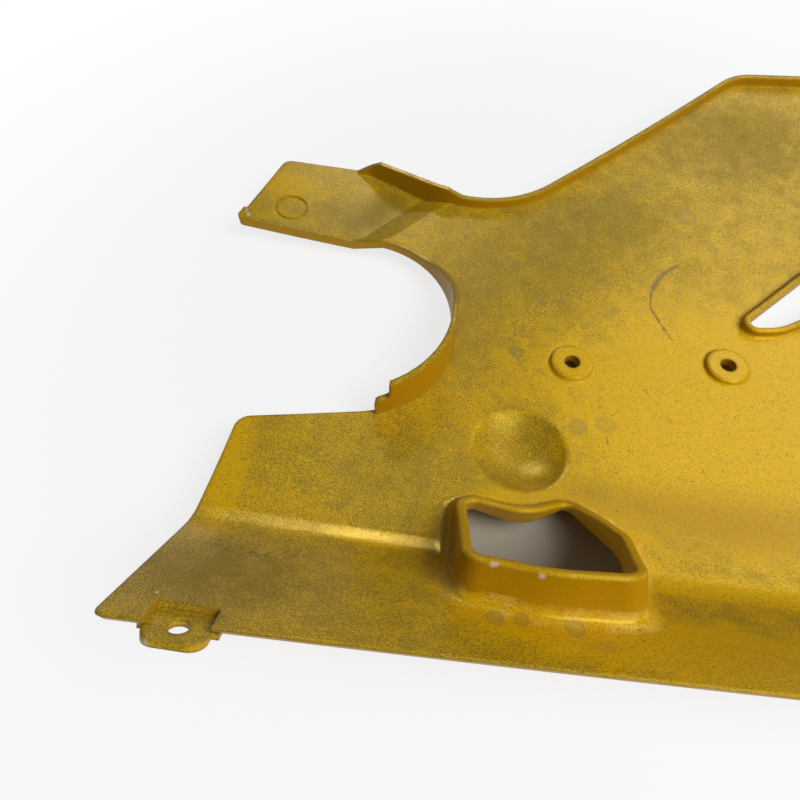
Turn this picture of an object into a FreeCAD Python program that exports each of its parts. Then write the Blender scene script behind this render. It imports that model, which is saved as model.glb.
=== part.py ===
import FreeCAD, Part
import math
import os
import Sketcher

# Side fairing panel of a motorbike: one moulded plastic shell, modelled inner face up.
# Origin midway between the two fixing bosses, +X along the lower fold, +Y towards the
# upper edge, +Z out of the inner face. Lengths in millimetres, angles in degrees.

DOC = FreeCAD.newDocument("side_fairing_panel")
SHEET = DOC.addObject("Spreadsheet::Sheet", "Sizes")
V = FreeCAD.Vector

SIZES = (
    # shell: crowned along X, two radii along Y, folded up along a strip at the lower edge
    ("wall", 3.2),
    ("lip_wall", 2.8),
    ("crown_radius", 2500),
    ("upper_radius", 1400),
    ("lower_radius", 520),
    ("fold_radius", 26),
    ("strip_angle", 44),
    ("strip_distance", 75),
    # outline in plan, corner by corner
    ("wing_left", -207),
    ("tip_left", -210),
    ("bottom_left", -174.6),
    ("tip_round", 3.2),
    ("wing_top", -66.3),
    ("wing_round", 8),
    ("notch_end", -108.6),
    ("notch_low", -43),
    ("notch_high", 63.5),
    ("notch_round", 54),
    ("arm_tip_x", -248.5),
    ("arm_tip_y", 74),
    ("arm_left", -230),
    ("arm_top", 132),
    ("arm_round", 7),
    ("flange_start_x", -171),
    ("flange_start_y", 133),
    ("flange_round", 15),
    ("hollow_x", -88.5),
    ("hollow_y", 98),
    ("hollow_round", 68),
    ("shoulder_x", 70),
    ("top_edge", 243.7),
    ("shoulder_round", 30),
    ("right_edge", 183.4),
    ("corner_round", 35),
    ("bottom_right", -161.3),
    ("heel_round", 25),
    # turned edges
    ("flange_top", 16.5),
    ("flange_end", -114),
    ("edge_height", 6),
    ("edge_slope", 12),
    ("arm_lip", 2.5),
    ("notch_wall_top", 28.5),
    ("notch_wall_low", 8),
    ("notch_wall_start", -141.5),
    ("notch_wall_step", 7),
    # set-down end of the arm
    ("arm_drop", 6),
    ("ridge_x", -140),
    ("ridge_y", 85),
    ("ridge_angle", 51.4),
    ("ramp_angle", 16),
    # fixing bosses
    ("boss_spacing", 83.6),
    ("boss_angle", 5.9),
    ("boss_radius", 11.4),
    ("boss_height", 2.8),
    ("boss_round", 1.6),
    ("boss_foot", 1),
    ("boss_hole", 4.25),
    # dimple
    ("dimple_x", -68.6),
    ("dimple_y", -62.3),
    ("dimple_radius", 23.5),
    ("dimple_depth", 9),
    ("dimple_round", 3),
    # duct collar
    ("duct_wall", 4.6),
    ("duct_left", -91.3),
    ("duct_right", -35.5),
    ("duct_bulge", -40),
    ("duct_front", -129.5),
    ("duct_belly_x", -62),
    ("duct_belly_y", -134),
    ("duct_back_left", -96),
    ("duct_dip_x", -67),
    ("duct_dip_y", -103),
    ("duct_back_x", -47),
    ("duct_back_right", -90.5),
    ("duct_side_y", -112),
    ("duct_front_lean", 26),
    ("duct_right_lean", 16),
    ("duct_left_lean", 3),
    ("duct_corner", 5),
    ("duct_dip_round", 24),
    ("duct_side_round", 18),
    ("duct_belly_round", 50),
    ("duct_rim_y", -135.3),
    ("duct_rim_z", 57),
    ("duct_rim_angle", 46),
    ("duct_rim_round", 1.2),
    # vent slot
    ("slot_tip_x", 50.8),
    ("slot_tip_y", 29.8),
    ("slot_tip_round", 3.6),
    ("slot_low_x", 72.5),
    ("slot_low_y", 32),
    ("slot_low_round", 30),
    ("slot_right_x", 121.4),
    ("slot_right_y", 61.7),
    ("slot_right_round", 22),
    ("slot_top_x", 128.4),
    ("slot_top_y", 104.7),
    ("slot_top_round", 9),
    ("slot_rim_wall", 3.6),
    ("slot_rim_height", 5),
    ("slot_rim_round", 1.6),
    ("slot_rim_foot", 2),
    # lower tab, set out from the strip's lower edge
    ("tab_x", -183.5),
    ("tab_width", 21.5),
    ("tab_reach", 5.2),
    ("tab_root", 11.6),
    ("tab_round", 5.5),
    ("tab_step", 2.6),
    ("tab_wall", 2.5),
    ("tab_hole", 3.5),
    ("tab_hole_up", 3),
    # ring moulded into the arm
    ("ring_x", -218),
    ("ring_y", 91.5),
    ("ring_radius", 9.5),
    ("ring_width", 1.4),
    ("ring_depth", 0.7),
)

# how far the tool solids run past the panel
LONG = "(Sizes.right_edge - Sizes.arm_tip_x)"
HIGH = "(Sizes.top_edge - Sizes.bottom_left) * 0.4"
FAR_Y = "(Sizes.top_edge + Sizes.corner_round)"
NEAR_Y = "(Sizes.bottom_left - Sizes.corner_round)"

# faces that meet at less than this angle, in degrees, pass for one smooth face
SMOOTH_ANGLE = 8

PLAN = FreeCAD.Rotation()
SIDE = FreeCAD.Rotation(V(1, 1, 1), 120)
FRONT = FreeCAD.Rotation(V(1, 0, 0), 90)


def fill_sheet():
    for row, (name, number) in enumerate(SIZES, start=1):
        SHEET.set("A%d" % row, name)
        SHEET.set("B%d" % row, str(number))
        SHEET.setAlias("B%d" % row, name)
    DOC.recompute()


def value(expression):
    return float(SHEET.evalExpression(expression))


def named(*names):
    return ["Sizes." + name for name in names]


def bind(item, **formulas):
    for name, formula in formulas.items():
        item.setExpression(name.replace("__", "."), formula)


def sketch(name, turn=PLAN):
    item = DOC.addObject("Sketcher::SketchObject", name)
    item.Placement = FreeCAD.Placement(V(), turn)
    return item


def dimension(item, kind, *places, formula):
    index = item.addConstraint(Sketcher.Constraint(kind, *places, value(formula)))
    item.setExpression("Constraints[%d]" % index, formula)


def closed_outline(item, corners):
    """Closed run of lines through named corners, each rounded by a tangent arc or left sharp."""
    points = [V(value(x), value(y)) for x, y, r in corners]
    count = len(points)
    arcs = []
    for i, (x, y, r) in enumerate(corners):
        here = points[i]
        before = (points[i - 1] - here).normalize()
        after = (points[(i + 1) % count] - here).normalize()
        if r is None:
            arcs.append((here, here, None))
            continue
        half = before.getAngle(after) / 2
        radius = value(r)
        start = here + before * (radius / math.tan(half))
        end = here + after * (radius / math.tan(half))
        centre = here + (before + after).normalize() * (radius / math.sin(half))
        arcs.append((start, end, (centre, radius)))
    lines = []
    for i in range(count):
        lines.append(item.addGeometry(Part.LineSegment(arcs[i][1], arcs[(i + 1) % count][0])))
    for i, (x, y, r) in enumerate(corners):
        before, after = lines[i - 1], lines[i]
        start, end, round_off = arcs[i]
        if round_off is None:
            item.addConstraint(Sketcher.Constraint("Coincident", before, 2, after, 1))
            mark, spot = after, 1
        else:
            centre, radius = round_off
            circle = Part.Circle(centre, V(0, 0, 1), radius)
            turn = (start - centre).cross(end - centre).z
            first, last = (start, end) if turn > 0 else (end, start)
            arc = item.addGeometry(Part.ArcOfCircle(circle, circle.parameter(first), circle.parameter(last)))
            ends = (1, 2) if turn > 0 else (2, 1)
            item.addConstraint(Sketcher.Constraint("Tangent", before, 2, arc, ends[0]))
            item.addConstraint(Sketcher.Constraint("Tangent", arc, ends[1], after, 1))
            dimension(item, "Radius", arc, formula=r)
            mark, spot = item.addGeometry(Part.Point(points[i]), True), 1
            item.addConstraint(Sketcher.Constraint("PointOnObject", mark, 1, before))
            item.addConstraint(Sketcher.Constraint("PointOnObject", mark, 1, after))
        dimension(item, "DistanceX", -1, 1, mark, spot, formula=x)
        dimension(item, "DistanceY", -1, 1, mark, spot, formula=y)
    return item


def extrude(name, base, forward, back="0", solid=True):
    item = DOC.addObject("Part::Extrusion", name)
    item.Base = base
    item.DirMode = "Normal"
    item.Solid = solid
    bind(item, LengthFwd=forward, LengthRev=back)
    return item


def common(name, *parts):
    item = DOC.addObject("Part::MultiCommon", name)
    item.Shapes = list(parts)
    item.Refine = False
    return item


def fuse(name, *parts, refine=False):
    item = DOC.addObject("Part::MultiFuse", name)
    item.Shapes = list(parts)
    item.Refine = refine
    return item


def cut(name, base, tool):
    item = DOC.addObject("Part::Cut", name)
    item.Base = base
    item.Tool = tool
    item.Refine = False
    return item


def offset(name, base, amount):
    item = DOC.addObject("Part::Offset2D", name)
    item.Source = base
    bind(item, Value=amount)
    return item


def shell_profile(name, depth):
    """Section across the panel at its middle: all that lies above the shell surface offset by depth."""
    item = sketch(name, SIDE)
    d = value(depth)
    upper, lower, fold, reach, angle = [value(s) for s in named(
        "upper_radius", "lower_radius", "fold_radius", "strip_distance", "strip_angle")]
    turn = math.radians(angle)
    normal = V(math.sin(turn), math.cos(turn))
    along = V(-math.cos(turn), math.sin(turn))
    base = normal * (fold - reach)
    to_base = base - V(0, lower)
    half = to_base.dot(along)
    run = -half - math.sqrt(half**2 - to_base.dot(to_base) + (lower - fold)**2)
    centre = base + along * run
    meet = V(0, -d)
    fold_high = centre + (centre - V(0, lower)).normalize() * (fold + d)
    fold_low = centre - normal * (fold + d)
    near, far, top = value(NEAR_Y), value(FAR_Y), value(HIGH)
    strip_end = fold_low + along * ((near - fold_low.x) / along.x)
    upper_end = V(far, upper - math.sqrt((upper + d)**2 - far**2))

    def arc(middle, radius, start, end):
        circle = Part.Circle(middle, V(0, 0, 1), radius)
        return item.addGeometry(Part.ArcOfCircle(circle, circle.parameter(start), circle.parameter(end)))

    a_upper = arc(V(0, upper), upper + d, meet, upper_end)
    a_lower = arc(V(0, lower), lower + d, fold_high, meet)
    a_fold = arc(centre, fold + d, fold_low, fold_high)
    strip = item.addGeometry(Part.LineSegment(strip_end, fold_low))
    rise = item.addGeometry(Part.LineSegment(V(near, top), strip_end))
    roof = item.addGeometry(Part.LineSegment(V(far, top), V(near, top)))
    fall = item.addGeometry(Part.LineSegment(upper_end, V(far, top)))
    for rule in (
        ("Tangent", a_lower, 2, a_upper, 1),
        ("Tangent", a_fold, 2, a_lower, 1),
        ("Tangent", strip, 2, a_fold, 1),
        ("Coincident", rise, 2, strip, 1),
        ("Coincident", roof, 2, rise, 1),
        ("Coincident", fall, 2, roof, 1),
        ("Coincident", a_upper, 2, fall, 1),
        ("Vertical", rise),
        ("Vertical", fall),
        ("Horizontal", roof),
        ("PointOnObject", a_upper, 1, -2),
        ("PointOnObject", a_upper, 3, -2),
    ):
        item.addConstraint(Sketcher.Constraint(*rule))
    dimension(item, "DistanceY", -1, 1, a_upper, 1, formula="-(%s)" % depth)
    dimension(item, "Radius", a_upper, formula="Sizes.upper_radius + %s" % depth)
    dimension(item, "Radius", a_lower, formula="Sizes.lower_radius + %s" % depth)
    dimension(item, "Radius", a_fold, formula="Sizes.fold_radius + %s" % depth)
    dimension(item, "Distance", -1, 1, strip, formula="Sizes.strip_distance + %s" % depth)
    index = item.addConstraint(Sketcher.Constraint("Angle", strip, -turn))
    item.setExpression("Constraints[%d]" % index, "-Sizes.strip_angle * 1 deg")
    dimension(item, "DistanceX", -1, 1, rise, 2, formula=NEAR_Y)
    dimension(item, "DistanceX", -1, 1, fall, 2, formula=FAR_Y)
    dimension(item, "DistanceY", -1, 1, roof, 1, formula=HIGH)
    return item


def above(name, depth, drop=None, profile=None):
    """All that lies above the crowned shell surface offset outwards by depth and let down by drop."""
    item = DOC.addObject("Part::Revolution", name)
    item.Source = profile or shell_profile(name + "_profile", depth)
    item.Axis = V(0, 1, 0)
    item.Symmetric = True
    item.Solid = True
    bind(item, Base__z="Sizes.crown_radius", Angle="2 * asin(%s / Sizes.crown_radius) / 1 deg" % LONG)
    if drop:
        bind(item, Placement__Base__z="-(%s)" % drop)
    return item


def stepped(name, depth):
    """As above(), with the outer end of the arm let down past a slanting flat ramp."""
    level = above(name + "_level", depth)
    down = above(name + "_down", depth, drop="Sizes.arm_drop", profile=level.Source)
    ridge_z = "Sizes.ridge_x^2 / (2 * Sizes.crown_radius) + Sizes.ridge_y^2 / (2 * Sizes.upper_radius)"
    ramp_z = "%s - (%s) / cos(Sizes.ramp_angle)" % (ridge_z, depth)
    fall = "tan(Sizes.ramp_angle)"
    run = "(Sizes.ridge_x - Sizes.arm_tip_x)"
    side = closed_outline(sketch(name + "_ramp_profile"), [
        ("-Sizes.arm_drop", "%s + Sizes.arm_drop * %s" % (ramp_z, fall), None),
        (run, "%s - %s * %s" % (ramp_z, run, fall), None),
        (run, HIGH + " * 0.9", None), ("-Sizes.arm_drop", HIGH + " * 0.9", None)])
    side.setExpression("Placement", "placement(vector(Sizes.ridge_x; Sizes.ridge_y; 0);"
                       " rotation(vector(0; 0; 1); Sizes.ridge_angle + 90) * rotation(vector(1; 0; 0); 90))")
    zone = extrude(name + "_ramp", side, run, run + " * 0.9")
    return fuse(name, level, common(name + "_end", down, zone))


def middle_of(edge):
    return edge.valueAt((edge.FirstParameter + edge.LastParameter) / 2)


def corner_angle(shape, edge):
    """Angle in degrees between the two faces that meet at the middle of an edge."""
    point = middle_of(edge)
    normals = []
    for face in shape.ancestorsOfType(edge, Part.Face):
        normals.append(face.normalAt(*face.Surface.parameter(point)))
    return math.degrees(normals[0].getAngle(normals[-1]))


def rounded(name, base, radius, chosen):
    """Rounds the sharp edges of base whose middle point is chosen."""
    DOC.recompute()
    shape = base.Shape
    size = value(radius)
    numbers = []
    for number, edge in enumerate(shape.Edges, start=1):
        if edge.Length > size / 50 and chosen(middle_of(edge)) and corner_angle(shape, edge) > SMOOTH_ANGLE:
            numbers.append(number)
    if not numbers:
        raise RuntimeError("%s finds no edge to round" % name)
    item = DOC.addObject("Part::Fillet", name)
    item.Base = base
    item.Edges = [(number, size, size) for number in numbers]
    return item


def rise(point):
    """Height of a point above the shell's inner face, not counting the set-down end of the arm."""
    crown, upper, lower, reach, angle = [value(s) for s in named(
        "crown_radius", "upper_radius", "lower_radius", "strip_distance", "strip_angle")]
    z = crown - math.hypot(point.x, crown - point.z)
    if point.y >= 0:
        return upper - math.hypot(point.y, upper - z)
    turn = math.radians(angle)
    strip = reach + math.sin(turn) * point.y + math.cos(turn) * z
    return min(lower - math.hypot(point.y, lower - z), strip)


def soften(body):
    """Rounds the corners of the raised features, as the mould does."""
    near = value("Sizes.wall / 8")
    boss_x = value("Sizes.boss_spacing / 2 * cos(Sizes.boss_angle)")
    boss_y = value("Sizes.boss_spacing / 2 * sin(Sizes.boss_angle)")
    boss_radius, boss_height = value("Sizes.boss_radius"), value("Sizes.boss_height")
    dimple_x, dimple_y = value("Sizes.dimple_x"), value("Sizes.dimple_y")
    dimple_radius, dimple_round = value("Sizes.dimple_radius"), value("Sizes.dimple_round")
    rim_turn = math.radians(value("Sizes.duct_rim_angle"))
    rim_y, rim_z = value("Sizes.duct_rim_y"), value("Sizes.duct_rim_z")
    back_y = value("Sizes.duct_back_right + Sizes.duct_corner * 2")
    slot_low = V(value("Sizes.slot_tip_x - Sizes.slot_rim_wall * 3"), value("Sizes.slot_tip_y - Sizes.slot_rim_wall * 3"))
    slot_high = V(value("Sizes.slot_top_x + Sizes.slot_rim_wall * 3"), value("Sizes.slot_top_y + Sizes.slot_rim_wall * 3"))
    rim_half = value("Sizes.slot_rim_height / 2")

    def on_boss(p):
        reach = min(math.hypot(p.x - s * boss_x, p.y - s * boss_y) for s in (1, -1))
        return abs(reach - boss_radius) < near

    def on_slot(p):
        return slot_low.x < p.x < slot_high.x and slot_low.y < p.y < slot_high.y

    def on_dimple(p):
        reach = math.hypot(p.x - dimple_x, p.y - dimple_y)
        return abs(reach - dimple_radius) < dimple_round and abs(rise(p)) < dimple_round / 2

    def on_duct_rim(p):
        depth = (p.y - rim_y) * math.sin(rim_turn) + (p.z - rim_z) * math.cos(rim_turn)
        return p.y < back_y and abs(depth) < near / 10

    for name, radius, chosen in (
        ("soft_boss_foot", "Sizes.boss_foot", lambda p: on_boss(p) and abs(rise(p)) < near),
        ("soft_boss_top", "Sizes.boss_round", lambda p: on_boss(p) and rise(p) > boss_height / 2),
        ("soft_slot_foot", "Sizes.slot_rim_foot", lambda p: on_slot(p) and abs(rise(p)) < near),
        ("soft_slot_rim", "Sizes.slot_rim_round", lambda p: on_slot(p) and rise(p) > rim_half),
        ("soft_dimple", "Sizes.dimple_round", on_dimple),
        ("soft_duct_rim", "Sizes.duct_rim_round", on_duct_rim),
    ):
        body = rounded(name, body, radius, chosen)
    return body


def main():
    fill_sheet()
    w = "Sizes."

    outline = closed_outline(sketch("outline"), [named(*names) for names in (
        ("tip_left", "bottom_left", "tip_round"),
        ("right_edge", "bottom_right", "heel_round"),
        ("right_edge", "top_edge", "corner_round"),
        ("shoulder_x", "top_edge", "shoulder_round"),
        ("hollow_x", "hollow_y", "hollow_round"),
        ("flange_start_x", "flange_start_y", "flange_round"),
        ("arm_left", "arm_top", "arm_round"),
        ("arm_tip_x", "arm_tip_y", "tip_round"),
        ("notch_end", "notch_high", "notch_round"),
        ("notch_end", "notch_low", "notch_round"),
        ("wing_left", "wing_top", "wing_round"),
    )])
    DOC.recompute()
    block = extrude("block", outline, HIGH + " * 0.8", HIGH)
    inside = extrude("inside", offset("inside_outline", outline, "-Sizes.lip_wall"), HIGH, HIGH)

    past = w + "arm_tip_x - Sizes.arm_round"
    outer = stepped("outer", "Sizes.wall")
    inner = stepped("inner", "0")
    lip = stepped("lip", "-Sizes.arm_lip")
    DOC.recompute()
    solid = common("solid", block, outer)

    # the hollow leaves a standing wall round the edge, except where the edge is plain
    level = DOC.inner_level
    deep, top = "-" + HIGH, HIGH
    past_right = w + "right_edge + Sizes.corner_round"
    past_left = past + " - Sizes.arm_round"
    heel_y = w + "bottom_right + Sizes.heel_round"
    wing_y = w + "notch_low + Sizes.wing_round"
    begin = w + "notch_wall_start"
    plan = closed_outline(sketch("plain_plan"), [(x, y, None) for x, y in (
        (past_left, NEAR_Y), (past_right, NEAR_Y), (past_right, heel_y), (begin, heel_y),
        (begin, wing_y), (past_left, wing_y))])
    plain = [inside, extrude("plain_zone", plan, top, top)]

    step_low = begin + " + Sizes.notch_wall_step"
    wall_mid = "(Sizes.notch_wall_top + Sizes.notch_wall_low) / 2"
    end_round = w + "notch_wall_step / 3"
    side = closed_outline(sketch("wall_end_profile", FRONT), [
        (begin + " - Sizes.lip_wall", deep, None), (begin, deep, None), (begin, wall_mid, end_round),
        (step_low, wall_mid, end_round), (step_low, top, None), (begin + " - Sizes.lip_wall", top, None)])
    plain.append(extrude("wall_end_zone", side, "-(%s)" % heel_y, "0"))

    side = closed_outline(sketch("notch_wall_profile", SIDE), [
        (w + "wing_top", w + "notch_wall_top", None), ("0", w + "notch_wall_top", w + "notch_round"),
        (w + "notch_high - Sizes.wing_round", w + "notch_wall_low", w + "notch_round / 4"),
        (w + "arm_tip_y + Sizes.arm_lip", w + "notch_wall_low", None),
        (w + "arm_tip_y + Sizes.arm_lip", top, None), (w + "wing_top", top, None)])
    trims = [extrude("notch_wall_zone", side, w + "duct_left - Sizes.wall * 2", "-(%s)" % begin)]

    arm_y = w + "arm_tip_y + Sizes.ring_radius"
    plan = closed_outline(sketch("arm_lip_plan"), [(x, y, None) for x, y in (
        (past_left, w + "notch_high - Sizes.arm_drop"), (begin, w + "notch_high - Sizes.arm_drop"),
        (begin, arm_y), (past_left, arm_y))])
    trims.append(common("arm_lip_trim", extrude("arm_lip_zone", plan, top, top), lip))

    # flange along the upper edge: rises from the arm, runs full height, then steps down to the edge lip
    rise_low = w + "flange_start_x - Sizes.edge_slope"
    rise_high = w + "flange_start_x + Sizes.edge_slope / 2"
    fall_high = w + "flange_end - Sizes.edge_slope / 2"
    fall_low = w + "flange_end + Sizes.edge_slope / 2"
    arm_z = "Sizes.flange_start_x^2 / (2 * Sizes.crown_radius) + Sizes.flange_start_y^2 / (2 * Sizes.upper_radius)"
    hollow_z = "Sizes.flange_end^2 / (2 * Sizes.crown_radius) + Sizes.hollow_y^2 / (2 * Sizes.upper_radius)"
    ease = w + "edge_slope / 3"
    crest = w + "flange_top"
    zones = []
    for name, corners in (
        ("arm_top_zone", [
            (past_left, deep, None), (rise_low, deep, None), (rise_low, arm_z + " - Sizes.arm_drop", ease),
            (rise_high, crest, ease), (rise_high, top, None), (past_left, top, None)]),
        ("flange_zone", [
            (rise_low, crest, None), (fall_low, crest, None), (fall_low, top, None), (rise_low, top, None)]),
        ("edge_zone", [
            (fall_low, deep, None), (past_right, deep, None), (past_right, top, None), (fall_high, top, None),
            (fall_high, crest, ease), (fall_low, hollow_z + " + Sizes.edge_height", ease)]),
    ):
        side = closed_outline(sketch(name + "_profile", FRONT), corners)
        zones.append(extrude(name, side, "-(%s)" % arm_y, FAR_Y))
    plan = closed_outline(sketch("right_edge_plan"), [(x, y, None) for x, y in (
        (w + "right_edge - Sizes.corner_round", heel_y), (past_right, heel_y), (past_right, arm_y),
        (w + "right_edge - Sizes.corner_round", arm_y))])
    right_zone = extrude("right_edge_zone", plan, top, top)
    plain.append(zones[0])
    trims.append(zones[1])
    edge_top = above("edge_top", "-Sizes.edge_height")
    trims.append(common("edge_trim", zones[2], edge_top))
    trims.append(common("right_edge_trim", right_zone, edge_top))
    hollow = common("hollow", fuse("hollow_zone", *plain, refine=True), inner)
    body = cut("hollowed", solid, hollow)
    for number, tool in enumerate(trims, start=1):
        body = cut("trimmed_%d" % number, body, tool)
    DOC.recompute()

    # dimple pressed outwards: a spherical cup with the shell's wall
    ball_radius = "((Sizes.dimple_radius^2 + Sizes.dimple_depth^2) / (2 * Sizes.dimple_depth))"
    dip_z = "(Sizes.lower_radius - sqrt(Sizes.lower_radius^2 - Sizes.dimple_y^2))"
    dip_z = "(Sizes.crown_radius - sqrt((Sizes.crown_radius - %s)^2 - Sizes.dimple_x^2))" % dip_z
    lift = "(%s - Sizes.dimple_depth)" % ball_radius
    balls = []
    for name, extra in (("cup_outside", " + Sizes.wall"), ("cup_inside", "")):
        ball = DOC.addObject("Part::Sphere", name)
        bind(ball, Radius=ball_radius + extra,
             Placement__Base__x="Sizes.dimple_x - %s * Sizes.dimple_x / Sizes.crown_radius" % lift,
             Placement__Base__y="Sizes.dimple_y - %s * Sizes.dimple_y / Sizes.lower_radius" % lift,
             Placement__Base__z=dip_z + " + " + lift)
        balls.append(ball)
    body = fuse("with_cup", body, cut("cup", balls[0], level))
    body = cut("with_dimple", body, balls[1])
    DOC.recompute()

    # duct collar: a lofted hood, steep at the back, leaning at the front, cut off along a slanting rim
    middle = above("middle", "Sizes.wall / 2")
    duct_top = "(Sizes.duct_rim_z + Sizes.duct_corner)"
    front_run = duct_top + " * tan(Sizes.duct_front_lean)"
    right_run = duct_top + " * tan(Sizes.duct_right_lean)"
    left_run = duct_top + " * tan(Sizes.duct_left_lean)"
    mouths = []
    for name, height, front, right, left in (
        ("duct_foot", "0", " - " + front_run, " + " + right_run, " - " + left_run),
        ("duct_mouth", duct_top, "", "", ""),
    ):
        mouth = closed_outline(sketch(name), [
            (w + "duct_left" + left, w + "duct_front" + front, w + "duct_corner"),
            (w + "duct_belly_x", w + "duct_belly_y" + front, w + "duct_belly_round"),
            (w + "duct_right" + right, w + "duct_front" + front, w + "duct_corner"),
            (w + "duct_bulge" + right, w + "duct_side_y", w + "duct_side_round"),
            (w + "duct_back_x", w + "duct_back_right", w + "duct_corner"),
            (w + "duct_dip_x", w + "duct_dip_y", w + "duct_dip_round"),
            (w + "duct_left" + left, w + "duct_back_left", w + "duct_corner"),
        ])
        bind(mouth, Placement__Base__z=height)
        mouths.append(mouth)
    lofts = []
    for name, sections in (
        ("duct_inside", mouths),
        ("duct_outside", [offset(m.Name + "_outside", m, "Sizes.duct_wall") for m in mouths]),
    ):
        loft = DOC.addObject("Part::Loft", name)
        loft.Sections = sections
        loft.Solid = True
        loft.Ruled = True
        lofts.append(loft)
    slope = "tan(Sizes.duct_rim_angle)"
    side = closed_outline(sketch("duct_rim_profile", SIDE), [
        (NEAR_Y, deep, None),
        ("Sizes.duct_rim_y + (Sizes.duct_rim_z + %s) / %s" % (HIGH, slope), deep, None),
        (NEAR_Y, "Sizes.duct_rim_z + (Sizes.duct_rim_y - %s) * %s" % (NEAR_Y, slope), None)])
    under_rim = extrude("under_duct_rim", side, LONG + " / 2", LONG + " / 2")
    DOC.recompute()
    body = fuse("with_collar", body, common("collar", lofts[1], under_rim, middle))
    body = cut("with_duct", body, lofts[0])
    DOC.recompute()

    # vent slot with a raised rim
    slot = closed_outline(sketch("slot"), [named(*names) for names in (
        ("slot_tip_x", "slot_tip_y", "slot_tip_round"),
        ("slot_low_x", "slot_low_y", "slot_low_round"),
        ("slot_right_x", "slot_right_y", "slot_right_round"),
        ("slot_top_x", "slot_top_y", "slot_top_round"),
    )])
    DOC.recompute()
    rim = extrude("slot_rim", offset("slot_rim_outline", slot, "Sizes.slot_rim_wall"), top, top)
    band = cut("slot_rim_band", middle, above("slot_rim_top", "-Sizes.slot_rim_height"))
    rim = common("slot_rim_wall", rim, band)
    body = fuse("with_slot_rim", body, rim)
    body = cut("with_slot", body, extrude("slot_hole", slot, top, top))
    DOC.recompute()

    # two fixing bosses
    for name, sign in (("left", "-"), ("right", "")):
        place = {
            "Placement__Base__x": sign + "Sizes.boss_spacing / 2 * cos(Sizes.boss_angle)",
            "Placement__Base__y": sign + "Sizes.boss_spacing / 2 * sin(Sizes.boss_angle)",
        }
        boss = DOC.addObject("Part::Cylinder", name + "_boss")
        bind(boss, Radius="Sizes.boss_radius", Height="Sizes.boss_height + Sizes.wall / 2",
             Placement__Base__z="-Sizes.wall / 2", **place)
        hole = DOC.addObject("Part::Cylinder", name + "_boss_hole")
        bind(hole, Radius="Sizes.boss_hole", Height=HIGH, Placement__Base__z="-%s / 2" % HIGH, **place)
        body = fuse("with_%s_boss" % name, body, boss)
        body = cut("with_%s_hole" % name, body, hole)
    DOC.recompute()

    # tab at the lower edge: a plate set out by a step, with a fixing hole
    edge_y = ("(Sizes.bottom_left + (Sizes.tab_x - Sizes.tip_left) * (Sizes.bottom_right - Sizes.bottom_left)"
              " / (Sizes.right_edge - Sizes.tip_left))")
    edge_z = "(-(Sizes.strip_distance + sin(Sizes.strip_angle) * %s) / cos(Sizes.strip_angle))" % edge_y
    arm = "(Sizes.crown_radius - %s)" % edge_z
    swing = "asin(-Sizes.tab_x / %s)" % arm
    seat = ("placement(vector(Sizes.tab_x; %s; Sizes.crown_radius - %s * cos(%s));"
            " rotation(vector(0; 1; 0); %s) * rotation(vector(1; 0; 0); -Sizes.strip_angle))"
            % (edge_y, arm, swing, swing))
    half = "Sizes.tab_width / 2"
    wide = half + " + Sizes.tab_wall"
    root = "Sizes.tab_root + Sizes.tab_wall"
    plate = closed_outline(sketch("tab_outline"), [
        ("-" + half, "-Sizes.tab_reach", "Sizes.tab_round"), (half, "-Sizes.tab_reach", "Sizes.tab_round"),
        (half, "Sizes.tab_wall", None), (wide, "Sizes.tab_wall", None), (wide, root, None),
        ("-(%s)" % wide, root, None), ("-(%s)" % wide, "Sizes.tab_wall", None), ("-" + half, "Sizes.tab_wall", None)])
    recess = closed_outline(sketch("tab_recess_outline"), [
        ("-" + half, "-Sizes.tab_reach", None), (half, "-Sizes.tab_reach", None),
        (half, "Sizes.tab_root", None), ("-" + half, "Sizes.tab_root", None)])
    reach = "Sizes.tab_reach * 2"
    tools = [extrude("tab_plate", plate, reach, reach), extrude("tab_recess", recess, reach, reach)]
    for item in (plate, recess):
        item.setExpression("Placement", seat)
    hole = DOC.addObject("Part::Cylinder", "tab_hole_tool")
    bind(hole, Radius="Sizes.tab_hole", Height=reach)
    hole.setExpression("Placement", seat + " * placement(vector(0; Sizes.tab_hole_up; -Sizes.tab_reach); rotation(0; 0; 0))")
    tab_top = above("tab_top", "Sizes.tab_step")
    tab_slab = cut("tab_slab", above("tab_back", "(Sizes.tab_step + Sizes.tab_wall)"), tab_top)
    body = cut("with_tab_recess", body, common("tab_recess_tool", tools[1], tab_top))
    body = fuse("with_tab", body, common("tab", tools[0], tab_slab))
    body = cut("with_tab_hole", body, hole)
    DOC.recompute()

    # shallow ring moulded into the arm's inner face
    discs = []
    for name, sign in (("ring_outside", "+"), ("ring_inside", "-")):
        disc = DOC.addObject("Part::Cylinder", name)
        bind(disc, Radius="Sizes.ring_radius %s Sizes.ring_width / 2" % sign, Height=HIGH,
             Placement__Base__x="Sizes.ring_x", Placement__Base__y="Sizes.ring_y",
             Placement__Base__z="-%s / 2" % HIGH)
        discs.append(disc)
    floor = above("ring_floor", "Sizes.ring_depth", drop="Sizes.arm_drop")
    body = cut("with_ring", body, common("ring_groove", cut("ring_tube", *discs), floor))
    whole = DOC.addObject("Part::Refine", "whole")
    whole.Source = body
    panel = soften(whole)
    panel.Label = "side_fairing_panel"
    DOC.recompute()
    return panel


def check_model(panel):
    """Stops before anything is written if any step of the model has failed."""
    for item in DOC.Objects:
        if "Invalid" in item.State or "Error" in item.State:
            raise RuntimeError("%s failed: %s" % (item.Name, item.State))
    shape = panel.Shape
    if shape.isNull() or not shape.isValid() or len(shape.Solids) != 1:
        raise RuntimeError("the panel is not one valid solid")


if __name__ == "__main__":
    finished = main()
    check_model(finished)
    os.makedirs("parts", exist_ok=True)
    finished.Shape.Solids[0].exportStep("parts/side_fairing_panel.step")
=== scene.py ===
import math

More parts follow.
